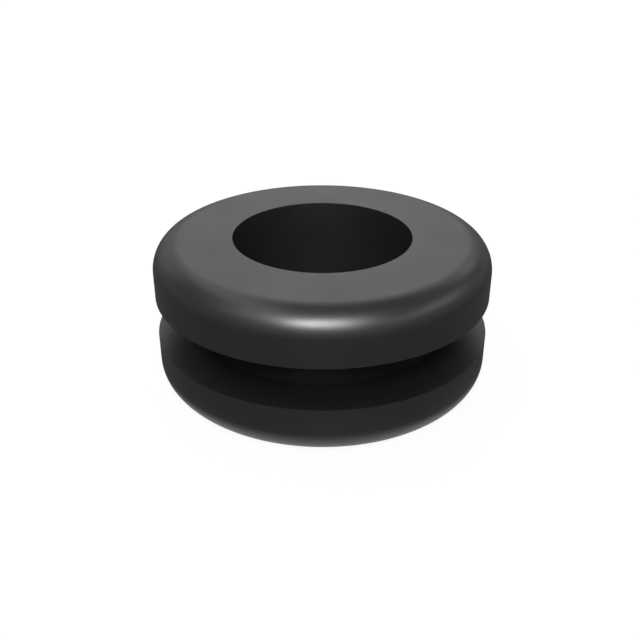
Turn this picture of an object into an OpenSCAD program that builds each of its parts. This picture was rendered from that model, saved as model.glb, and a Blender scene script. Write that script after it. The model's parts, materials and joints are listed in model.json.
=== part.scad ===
// Rubber grommet: a one-piece moulded ring that lines a hole in a panel.
// The groove grips the edge of the hole, and a cable or pipe runs through the bore.
// It stands on its lower flange, with the middle of that face at the origin and +Z up the bore.

/* [Panel fit] */
// Diameter of the panel hole that the groove fills
groove_d = 19.05; // [17:0.05:23]
// Thickness of the panel that the groove grips
groove_w = 3.175; // [1:0.025:6]

/* [Flanges] */
// Outside diameter of both flanges
flange_d = 25.4; // [23.5:0.1:34]
// Thickness of each flange
flange_t = 3.97; // [2.5:0.01:6]
// Radius of the round shoulder between each flange's outer face and its side
shoulder_r = 1.985; // [0.2:0.005:4]

/* [Bore] */
// Diameter of the bore that the cable runs through
bore_d = 13.46; // [6:0.02:16.5]

/* [Hidden] */
$fn = 128;
flange_r = flange_d/2;
groove_r = groove_d/2;
bore_r = bore_d/2;
// Overall height, from one outer face to the other
height = 2*flange_t + groove_w;
// Shoulder radius, no larger than the flange has room for
round_r = min(shoulder_r, flange_t, flange_r - bore_r);
// Length by which a cutter runs past the edge that it trims
past = 1;

// What a shoulder takes off a square corner, with the centre of its arc at the origin
module shoulder_waste() {
    difference() {
        translate([0, -round_r - past]) square(round_r + past);
        circle(round_r);
    }
}

// Half section of a flange: outer face along y = 0, round shoulder, square lip at the groove
module flange_section() {
    difference() {
        translate([bore_r, 0]) square([flange_r - bore_r, flange_t]);
        translate([flange_r - round_r, round_r]) shoulder_waste();
    }
}

// Half section of the neck, whose outer wall is the floor of the groove
module neck_section() {
    translate([bore_r, flange_t]) square([groove_r - bore_r, groove_w]);
}

// Half section of the moulding: two like flanges, joined by the neck
module grommet_section() {
    flange_section();
    neck_section();
    translate([0, height]) mirror([0, 1]) flange_section();
}

// The grommet, turned from its half section in one piece
module grommet() {
    color("#1d1d1d") rotate_extrude() grommet_section();
}

grommet();
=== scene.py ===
import math

import bpy
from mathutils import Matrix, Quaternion, Vector
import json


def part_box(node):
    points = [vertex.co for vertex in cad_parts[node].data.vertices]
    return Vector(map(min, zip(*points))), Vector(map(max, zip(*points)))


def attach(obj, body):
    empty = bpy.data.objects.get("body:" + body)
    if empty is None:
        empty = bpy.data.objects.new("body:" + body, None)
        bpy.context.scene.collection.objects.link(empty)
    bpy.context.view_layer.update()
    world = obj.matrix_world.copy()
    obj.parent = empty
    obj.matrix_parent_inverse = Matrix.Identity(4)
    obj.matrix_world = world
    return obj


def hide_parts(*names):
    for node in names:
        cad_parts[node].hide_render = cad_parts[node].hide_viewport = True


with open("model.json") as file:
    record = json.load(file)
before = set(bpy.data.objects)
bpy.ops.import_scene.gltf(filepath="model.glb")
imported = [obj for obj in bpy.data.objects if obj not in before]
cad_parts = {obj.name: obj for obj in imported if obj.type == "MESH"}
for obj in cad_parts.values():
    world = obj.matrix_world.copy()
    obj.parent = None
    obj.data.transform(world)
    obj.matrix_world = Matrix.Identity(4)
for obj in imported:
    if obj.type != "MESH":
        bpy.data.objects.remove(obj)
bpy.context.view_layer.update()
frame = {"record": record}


# The camera looks down on the grommet from in front, as in the photograph.
# Its place and its turn were worked out from the outlines of the flanges and the bore.
base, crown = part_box("grommet")
flange_radius = (crown.x - base.x) / 2
height = crown.z - base.z
middle = Vector((0, 0, height / 2))

camera_elevation = math.radians(27.15)
camera_distance = 0.0656
camera_roll = math.radians(0.09)
lens_mm = 47.27
aim_left_of_middle = 0.00017
aim_below_middle = 0.0015

camera_data = bpy.data.cameras.new("photo_camera")
camera_data.sensor_width = 36
camera_data.lens = lens_mm
camera_data.clip_start = 0.005
camera_data.clip_end = 20
camera = bpy.data.objects.new("photo_camera", camera_data)
bpy.context.scene.collection.objects.link(camera)
towards_camera = Vector((0, -math.cos(camera_elevation), math.sin(camera_elevation)))
camera_up = Vector((0, math.sin(camera_elevation), math.cos(camera_elevation)))
camera.location = middle + camera_distance * towards_camera
aim = middle - Vector((aim_left_of_middle, 0, 0)) - aim_below_middle * camera_up
camera.rotation_mode = "QUATERNION"
look = (aim - camera.location).to_track_quat("-Z", "Y")
camera.rotation_quaternion = look @ Quaternion((0, 0, 1), camera_roll)
bpy.context.scene.camera = camera


# The grommet is one moulding of black rubber, turned here from a half section round the bore's axis.
# Its two flanges have round shoulders, and the groove between them, which grips a panel, has square lips.
# Its flat ends and the groove's faces are made duller than the rest, to match the photograph's tones.
mounts = {mount["name"]: mount for mount in frame["record"]["mounts"]}
bore_radius = mounts["cable_bore"]["dims"]["r_mm"] / 1000
groove_radius = mounts["panel_groove"]["dims"]["r_mm"] / 1000
groove_width = mounts["panel_groove"]["dims"]["length_mm"] / 1000
flange_thickness = (height - groove_width) / 2
shoulder_radius = flange_thickness / 2
steps_round = 320
steps_in_a_shoulder = 28
merge_distance = 0.000001
crisp_bend = math.radians(60)

# The rubber's finish, with painted shade in the groove. The groove's faces are darkened to a share of the
# body's tone, and their sheen is dimmed down to a share at the neck, where the lips' outer edges count as
# depth_at_lips of the way in.
dark_tone = (0.0075, 0.0075, 0.0076, 1)
pale_tone = (0.0095, 0.0095, 0.0096, 1)
rubber_ior = 1.7
mottle_scale = 260
mottle_detail = 3
mottle_range = (0.3, 0.7)
roughness_range = (0.35, 0.39)
flat_dulling = 0.12
flat_blend = 0.00015
lip_edge = 0.00001
painted_shade_groove_tone = 0.4
painted_shade_neck_sheen = 0.3
depth_at_lips = 0.2
grain_scale = 9000
grain_detail = 2
grain_strength = 0.03
grain_depth = 0.00002


def worked_out(tree, operation, *values):
    """The result of one Math node, whose values are sockets or plain numbers."""
    sum_node = tree.nodes.new("ShaderNodeMath")
    sum_node.operation = operation
    for socket, value in zip(sum_node.inputs, values):
        if isinstance(value, bpy.types.NodeSocket):
            tree.links.new(value, socket)
        else:
            socket.default_value = value
    return sum_node.outputs["Value"]


def graded(tree, value, start, end, low, high):
    """A number that goes evenly from low to high as the value goes from start to end."""
    grading = tree.nodes.new("ShaderNodeMapRange")
    grading.inputs["From Min"].default_value = start
    grading.inputs["From Max"].default_value = end
    grading.inputs["To Min"].default_value = low
    grading.inputs["To Max"].default_value = high
    tree.links.new(value, grading.inputs["Value"])
    return grading.outputs["Result"]


def uneven(tree, where, scale, detail):
    """Noise that stays with the piece."""
    noise = tree.nodes.new("ShaderNodeTexNoise")
    noise.inputs["Scale"].default_value = scale
    noise.inputs["Detail"].default_value = detail
    tree.links.new(where, noise.inputs["Vector"])
    return noise.outputs["Fac"]


def black_rubber():
    """Moulded black rubber: a dark body under a soft sheen, a very faint grain, and painted shade in the
    groove.
    """
    material = bpy.data.materials.new("black_rubber")
    material.use_nodes = True
    tree = material.node_tree
    nodes = tree.nodes
    link = tree.links.new
    surface = nodes["Principled BSDF"]
    surface.inputs["IOR"].default_value = rubber_ior
    where = nodes.new("ShaderNodeTexCoord").outputs["Object"]

    # Distance from the bore's axis and height from the middle tell which face a point is on
    across = nodes.new("ShaderNodeVectorMath")
    across.operation = "MULTIPLY"
    across.inputs[1].default_value = (1, 1, 0)
    link(where, across.inputs[0])
    reach = nodes.new("ShaderNodeVectorMath")
    reach.operation = "LENGTH"
    link(across.outputs["Vector"], reach.inputs[0])
    from_axis = reach.outputs["Value"]
    along = nodes.new("ShaderNodeSeparateXYZ")
    link(where, along.inputs["Vector"])
    from_middle = worked_out(tree, "ABSOLUTE", worked_out(tree, "SUBTRACT", along.outputs["Z"], middle.z))
    outside_bore = worked_out(tree, "GREATER_THAN", from_axis, (bore_radius + groove_radius) / 2)
    at_its_height = worked_out(tree, "LESS_THAN", from_middle, groove_width / 2 + lip_edge)
    in_groove = worked_out(tree, "MULTIPLY", at_its_height, outside_bore)
    at_end = graded(tree, from_middle, middle.z - flat_blend, middle.z, 0, 1)

    # Slow, faint changes of tone, as moulded rubber is never quite even.
    # The Mix node's colours are its inputs 6 and 7 and its output 2.
    mottle = uneven(tree, where, mottle_scale, mottle_detail)
    tone = nodes.new("ShaderNodeMix")
    tone.data_type = "RGBA"
    tone.inputs[6].default_value = dark_tone
    tone.inputs[7].default_value = pale_tone
    link(mottle, tone.inputs[0])
    # Painted shade: the groove's faces are darkened to a share of the tone
    shaded = nodes.new("ShaderNodeVectorMath")
    shaded.operation = "SCALE"
    link(tone.outputs[2], shaded.inputs[0])
    link(graded(tree, in_groove, 0, 1, 1, painted_shade_groove_tone), shaded.inputs["Scale"])
    link(shaded.outputs["Vector"], surface.inputs["Base Color"])

    # The two flat ends and the groove's faces are duller than the shoulders and the outer walls
    gloss = graded(tree, mottle, *mottle_range, *roughness_range)
    on_flat = worked_out(tree, "MAXIMUM", at_end, in_groove)
    link(worked_out(tree, "MULTIPLY_ADD", on_flat, flat_dulling, gloss), surface.inputs["Roughness"])

    # Painted shade: the sheen is dimmed from the groove's lips down to its neck
    depth = graded(tree, from_axis, flange_radius, groove_radius, depth_at_lips, 1)
    how_far_in = worked_out(tree, "MULTIPLY", depth, in_groove)
    link(graded(tree, how_far_in, 0, 1, 1, painted_shade_neck_sheen), surface.inputs["Specular Tint"])

    # The grain of the mould, far too fine to be seen as relief, which only softens the reflections
    relief = nodes.new("ShaderNodeBump")
    relief.inputs["Strength"].default_value = grain_strength
    relief.inputs["Distance"].default_value = grain_depth
    link(uneven(tree, where, grain_scale, grain_detail), relief.inputs["Height"])
    link(relief.outputs["Normal"], surface.inputs["Normal"])
    return material


def turned_moulding():
    """Geometry Nodes tree that draws the half section from its sizes, rounds it and turns it round Z."""
    tree = bpy.data.node_groups.new("turned_moulding", "GeometryNodeTree")
    nodes = tree.nodes
    link = tree.links.new
    for name in ("Bore Radius", "Groove Radius", "Flange Radius", "Flange Thickness", "Groove Width",
                 "Shoulder Radius"):
        tree.interface.new_socket(name, in_out="INPUT", socket_type="NodeSocketFloat")
    for name in ("Steps Round", "Steps In A Shoulder"):
        tree.interface.new_socket(name, in_out="INPUT", socket_type="NodeSocketInt")
    tree.interface.new_socket("Material", in_out="INPUT", socket_type="NodeSocketMaterial")
    tree.interface.new_socket("Moulding", in_out="OUTPUT", socket_type="NodeSocketGeometry")
    given = nodes.new("NodeGroupInput").outputs

    def chosen_by_corner(kind, choices):
        """A value picked by the corner's number, and 0 where none is given."""
        switch = nodes.new("GeometryNodeIndexSwitch")
        switch.data_type = kind
        while len(switch.index_switch_items) < len(choices):
            switch.index_switch_items.new()
        link(nodes.new("GeometryNodeInputIndex").outputs["Index"], switch.inputs["Index"])
        for number, choice in enumerate(choices):
            if choice:
                link(choice, switch.inputs[str(number)])
        return switch.outputs["Output"]

    # The section is drawn outwards from the bore's wall and downwards from the lower face,
    # because Curve to Mesh turns a section's X outwards and its Y down along the axis.
    neck_wall = worked_out(tree, "SUBTRACT", given["Groove Radius"], given["Bore Radius"])
    flange_wall = worked_out(tree, "SUBTRACT", given["Flange Radius"], given["Bore Radius"])
    lower_lip = given["Flange Thickness"]
    upper_lip = worked_out(tree, "ADD", lower_lip, given["Groove Width"])
    top = worked_out(tree, "ADD", upper_lip, given["Flange Thickness"])
    corners = [(None, None, "square"), (flange_wall, None, "shoulder"),
               (flange_wall, lower_lip, "square"), (neck_wall, lower_lip, "square"),
               (neck_wall, upper_lip, "square"), (flange_wall, upper_lip, "square"),
               (flange_wall, top, "shoulder"), (None, top, "square")]
    places = []
    radii = []
    steps = []
    for outwards, upwards, kind in corners:
        place = nodes.new("ShaderNodeCombineXYZ")
        if outwards:
            link(outwards, place.inputs["X"])
        if upwards:
            link(worked_out(tree, "MULTIPLY", upwards, -1), place.inputs["Y"])
        places.append(place.outputs["Vector"])
        radii.append(given["Shoulder Radius"] if kind == "shoulder" else None)
        steps.append(given["Steps In A Shoulder"] if kind == "shoulder" else None)

    outline = nodes.new("GeometryNodeCurvePrimitiveCircle")
    outline.inputs["Resolution"].default_value = len(corners)
    placed = nodes.new("GeometryNodeSetPosition")
    link(outline.outputs["Curve"], placed.inputs["Geometry"])
    link(chosen_by_corner("VECTOR", places), placed.inputs["Position"])
    rounded = nodes.new("GeometryNodeFilletCurve")
    rounded.mode = "POLY"
    link(placed.outputs["Geometry"], rounded.inputs["Curve"])
    link(chosen_by_corner("FLOAT", radii), rounded.inputs["Radius"])
    link(chosen_by_corner("INT", steps), rounded.inputs["Count"])

    axis_ring = nodes.new("GeometryNodeCurvePrimitiveCircle")
    link(given["Steps Round"], axis_ring.inputs["Resolution"])
    link(given["Bore Radius"], axis_ring.inputs["Radius"])
    turned = nodes.new("GeometryNodeCurveToMesh")
    link(axis_ring.outputs["Curve"], turned.inputs["Curve"])
    link(rounded.outputs["Curve"], turned.inputs["Profile Curve"])
    outside_out = nodes.new("GeometryNodeFlipFaces")
    link(turned.outputs["Mesh"], outside_out.inputs["Mesh"])

    # The square corners are doubled by the rounding, so they are merged, and their edges are kept crisp
    merged = nodes.new("GeometryNodeMergeByDistance")
    merged.inputs["Distance"].default_value = merge_distance
    link(outside_out.outputs["Mesh"], merged.inputs["Geometry"])
    bend = nodes.new("GeometryNodeInputMeshEdgeAngle")
    square = nodes.new("FunctionNodeCompare")
    square.operation = "GREATER_THAN"
    square.inputs["B"].default_value = crisp_bend
    link(bend.outputs["Unsigned Angle"], square.inputs["A"])
    smooth = nodes.new("GeometryNodeSetShadeSmooth")
    link(merged.outputs["Geometry"], smooth.inputs["Geometry"])
    crisp = nodes.new("GeometryNodeSetShadeSmooth")
    crisp.domain = "EDGE"
    crisp.inputs["Shade Smooth"].default_value = False
    link(smooth.outputs["Geometry"], crisp.inputs["Geometry"])
    link(square.outputs["Result"], crisp.inputs["Selection"])
    real = nodes.new("GeometryNodeRealizeInstances")
    link(crisp.outputs["Geometry"], real.inputs["Geometry"])
    finished = nodes.new("GeometryNodeSetMaterial")
    link(real.outputs["Geometry"], finished.inputs["Geometry"])
    link(given["Material"], finished.inputs["Material"])
    link(finished.outputs["Geometry"], nodes.new("NodeGroupOutput").inputs["Moulding"])
    return tree


blank = bpy.data.objects.new("moulding_blank", bpy.data.meshes.new("moulding_blank"))
bpy.context.scene.collection.objects.link(blank)
turning = blank.modifiers.new("turned_moulding", "NODES")
turning.node_group = turned_moulding()
moulding_sizes = {
    "Bore Radius": bore_radius,
    "Groove Radius": groove_radius,
    "Flange Radius": flange_radius,
    "Flange Thickness": flange_thickness,
    "Groove Width": groove_width,
    "Shoulder Radius": shoulder_radius,
    "Steps Round": steps_round,
    "Steps In A Shoulder": steps_in_a_shoulder,
    "Material": black_rubber(),
}
for socket in turning.node_group.interface.items_tree:
    if socket.in_out == "INPUT":
        turning[socket.identifier] = moulding_sizes[socket.name]

# The broad flats and walls keep their own normals, so each stays flat or straight up to its edge
levelling = blank.modifiers.new("flats_stay_flat", "WEIGHTED_NORMAL")
levelling.mode = "FACE_AREA"
levelling.weight = 100
levelling.keep_sharp = True
drawn = blank.evaluated_get(bpy.context.evaluated_depsgraph_get())
moulding = bpy.data.objects.new("rubber_moulding", bpy.data.meshes.new_from_object(drawn))
bpy.context.scene.collection.objects.link(moulding)
bpy.data.objects.remove(blank)
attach(moulding, "root")
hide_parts("grommet")


# The floor is a plain pale sheet under the grommet. The lamps light it as a grey one, which keeps the
# shadow, and Light Path lifts it to the photograph's white. Reflections show part of that white at the
# grommet's foot and far off, and none between, because the flanges' walls are dark in the photograph.
floor_half_width = 3.0
floor_grey = 0.11
floor_lift = 0.88
near_floor = 0.05
far_floor = 0.4
foot_radius = flange_radius - shoulder_radius
foot_glow_middle = (0.0002, -0.0012, 0)
foot_share = 0.76
far_share = 0.3
glow_shift = 0.0013
glow_edge = 0.0002
far_white_from = 0.2
far_white_full = 0.5
white_by_distance = [
    (bore_radius + glow_shift, 0),
    (foot_radius - glow_shift, foot_share),
    (flange_radius - glow_edge, foot_share),
    (flange_radius + glow_edge, 0),
    (far_white_from, 0),
    (far_white_full, far_share),
]


def white_when_seen(tree, share_in_reflections):
    """1 to the eye, and the given share in reflections and through clear things."""
    path = tree.nodes.new("ShaderNodeLightPath").outputs
    reflected = worked_out(tree, "ADD", path["Is Glossy Ray"], path["Is Transmission Ray"])
    shown = worked_out(tree, "MULTIPLY", reflected, share_in_reflections)
    return worked_out(tree, "MAXIMUM", path["Is Camera Ray"], shown)


edge = floor_half_width
sheet_corners = [(-edge, -edge, 0), (edge, -edge, 0), (edge, edge, 0), (-edge, edge, 0)]
floor_mesh = bpy.data.meshes.new("floor")
floor_mesh.from_pydata(sheet_corners, [], [(0, 1, 2, 3)])
floor = bpy.data.objects.new("floor", floor_mesh)
bpy.context.scene.collection.objects.link(floor)
sheet = bpy.data.materials.new("floor_sheet")
sheet.use_nodes = True
tree = sheet.node_tree
matt = tree.nodes["Principled BSDF"]
matt.inputs["Base Color"].default_value = (floor_grey, floor_grey, floor_grey, 1)
matt.inputs["Roughness"].default_value = 1
matt.inputs["Specular IOR Level"].default_value = 0
matt.inputs["Emission Color"].default_value = (1, 1, 1, 1)
reach = tree.nodes.new("ShaderNodeVectorMath")
reach.operation = "DISTANCE"
reach.inputs[1].default_value = foot_glow_middle
tree.links.new(tree.nodes.new("ShaderNodeTexCoord").outputs["Object"], reach.inputs[0])
from_foot = reach.outputs["Value"]

# The ramp of shares runs from the middle of the foot to the last distance in the list
share = tree.nodes.new("ShaderNodeValToRGB")
tree.links.new(worked_out(tree, "DIVIDE", from_foot, far_white_full), share.inputs["Fac"])
stops = share.color_ramp.elements
while len(stops) < len(white_by_distance):
    stops.new(0)
for stop, (distance, part) in zip(stops, white_by_distance):
    stop.position = distance / far_white_full
    stop.color = (part, part, part, 1)

# Far off, where little of the lamps' light falls, the lift alone makes the white
lift = graded(tree, from_foot, near_floor, far_floor, floor_lift, 1)
glow = worked_out(tree, "MULTIPLY", white_when_seen(tree, share.outputs["Color"]), lift)
tree.links.new(glow, matt.inputs["Emission Strength"])
floor_mesh.materials.append(sheet)


# Soft lamps stand round the grommet: a key above the camera with a brighter middle, and weak ones at the
# sides and behind. Each row gives a lamp's heading (0 behind, 90 right), its elevation, its half width
# and half height, all in degrees as seen from the grommet, and the brightness of its panel.
lamp_distance = 1.0
lamps = [
    ("key_lamp", 180, 41, 14, 12, 14),
    ("key_middle_lamp", 190, 40, 3, 5, 40),
    ("left_lamp", -90, 65, 45, 10, 1.1),
    ("right_lamp", 110, 25, 30, 3, 2),
    ("rear_lamp", 2, 33, 15, 14, 1.8),
    ("front_left_lamp", -120, 40, 15, 15, 0.6),
    ("rear_left_lamp", -35, 20, 20, 10, 0.4),
    ("right_rear_lamp", 35, 30, 10, 3, 2.5),
    ("right_side_lamp", 90, 30, 20, 3, 1.6),
]
for name, heading, elevation, half_width, half_height, brightness in lamps:
    panel = bpy.data.lights.new(name, "AREA")
    panel.shape = "RECTANGLE"
    panel.size = 2 * lamp_distance * math.tan(math.radians(half_width))
    panel.size_y = 2 * lamp_distance * math.tan(math.radians(half_height))
    panel.energy = math.pi * panel.size * panel.size_y * brightness
    lamp = bpy.data.objects.new(name, panel)
    bpy.context.scene.collection.objects.link(lamp)
    heading = math.radians(heading)
    elevation = math.radians(elevation)
    towards_lamp = Vector((math.sin(heading) * math.cos(elevation),
                           math.cos(heading) * math.cos(elevation),
                           math.sin(elevation)))
    lamp.location = middle + lamp_distance * towards_lamp
    lamp.rotation_euler = towards_lamp.to_track_quat("Z", "Y").to_euler()
    lamp.visible_camera = False


# The world is the studio's backdrop and ceiling: white to the eye, and an even, dimmer light on the
# grommet. Reflections show part of its white near the horizon, as they do on the far floor.
studio_light = 0.2
horizon_band = math.sin(math.radians(8))
world = bpy.data.worlds.new("studio")
world.use_nodes = True
tree = world.node_tree
studio = tree.nodes["Background"]
studio.inputs["Color"].default_value = (1, 1, 1, 1)
direction = tree.nodes.new("ShaderNodeSeparateXYZ")
tree.links.new(tree.nodes.new("ShaderNodeTexCoord").outputs["Generated"], direction.inputs["Vector"])
near_horizon = graded(tree, direction.outputs["Z"], 0, horizon_band, far_share, 0)
strength = graded(tree, white_when_seen(tree, near_horizon), 0, 1, studio_light, 1)
tree.links.new(strength, studio.inputs["Strength"])
bpy.context.scene.world = world

bpy.context.scene.view_settings.view_transform = "Standard"
